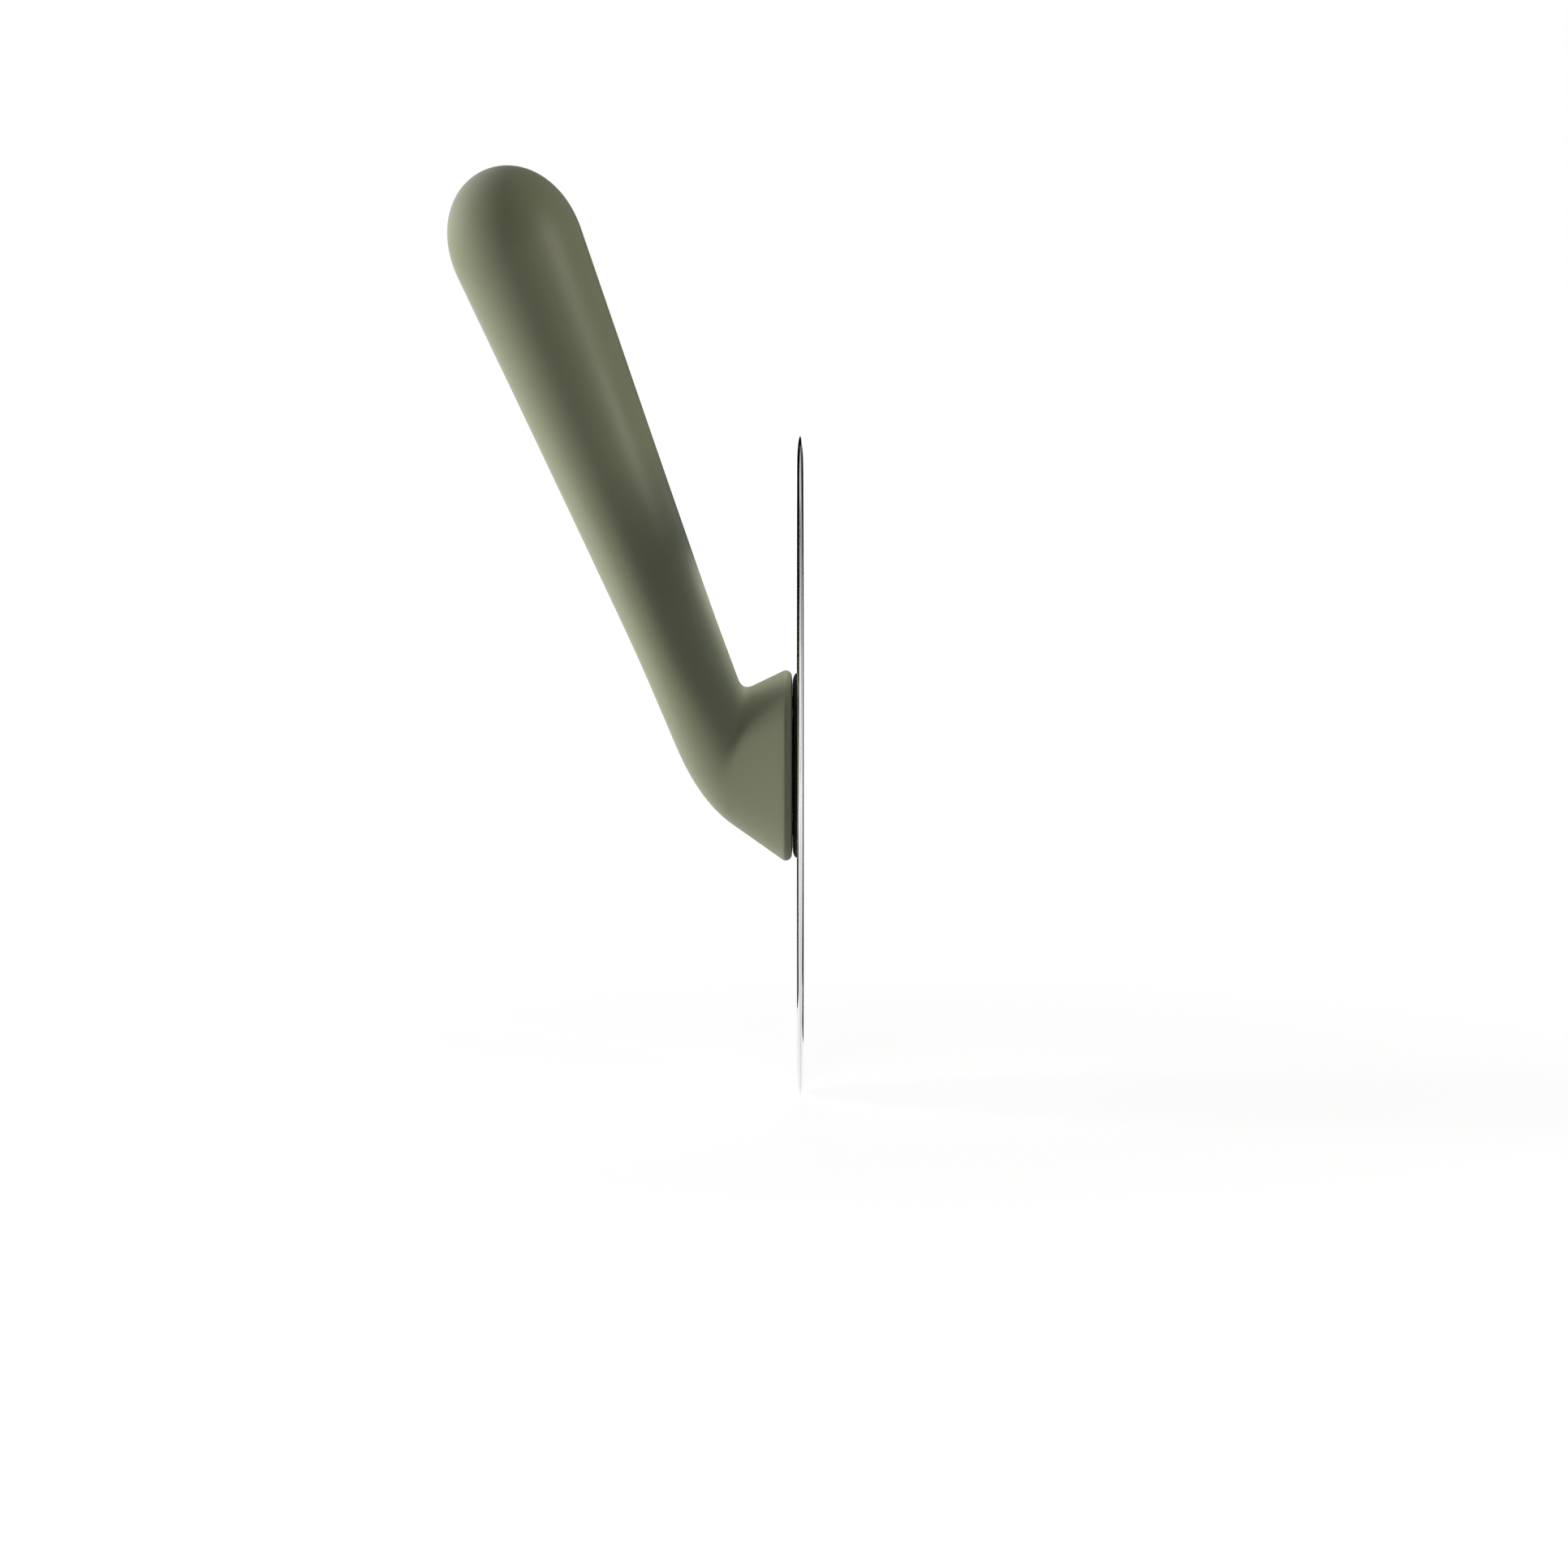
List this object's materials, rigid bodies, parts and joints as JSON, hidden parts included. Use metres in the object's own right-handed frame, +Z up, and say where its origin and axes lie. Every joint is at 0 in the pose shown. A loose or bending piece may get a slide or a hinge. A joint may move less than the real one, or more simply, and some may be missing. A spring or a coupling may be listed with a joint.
{
  "type": "pizza wheel",
  "caption": "Large round pizza cutter: a plain steel disc blade turning against a thin black plate on the oval foot of a sage-green handle that rises at an angle beside it.",
  "frame": {"origin": "centre of the wheel on the axle line, on the flat outer face of blade and cap", "axes": "+X along the axle, out of the blade's outer face and away from the handle; +Z up in the blade's plane, towards the handle's end; +Y completes the frame"},
  "size_m": [0.0754, 0.14, 0.1974],
  "materials": {
    "grip": "matte, finely grained sage green",
    "core": "plain dark moulding, hidden",
    "plate": "matt black",
    "stud": "turned stainless steel",
    "washer": "natural white low-friction plastic",
    "spring": "dark spring steel",
    "blade": "finely ground stainless steel, brighter on the ground rim",
    "hub": "satin black",
    "bush": "plain bronze bush, hidden",
    "rivet": "stainless steel, ground flush"
  },
  "bodies": {
    "handle": {"handle_grip": "grip", "handle_core": "core", "foot_plate": "plate", "axle_stud": "stud", "inner_thrust_washer": "washer", "outer_thrust_washer": "washer", "retaining_ring": "spring"},
    "wheel": {"blade": "blade", "hub": "hub", "bearing_bush": "bush", "hub_cap": "hub", "rivet_1": "rivet", "rivet_2": "rivet", "rivet_3": "rivet", "rivet_4": "rivet"}
  },
  "joints": [
    {"name": "wheel_spin", "type": "hinge", "parent": "handle", "child": "wheel", "pos_m": [0, 0, 0], "axis": [1, 0, 0], "continuous": true}
  ]
}
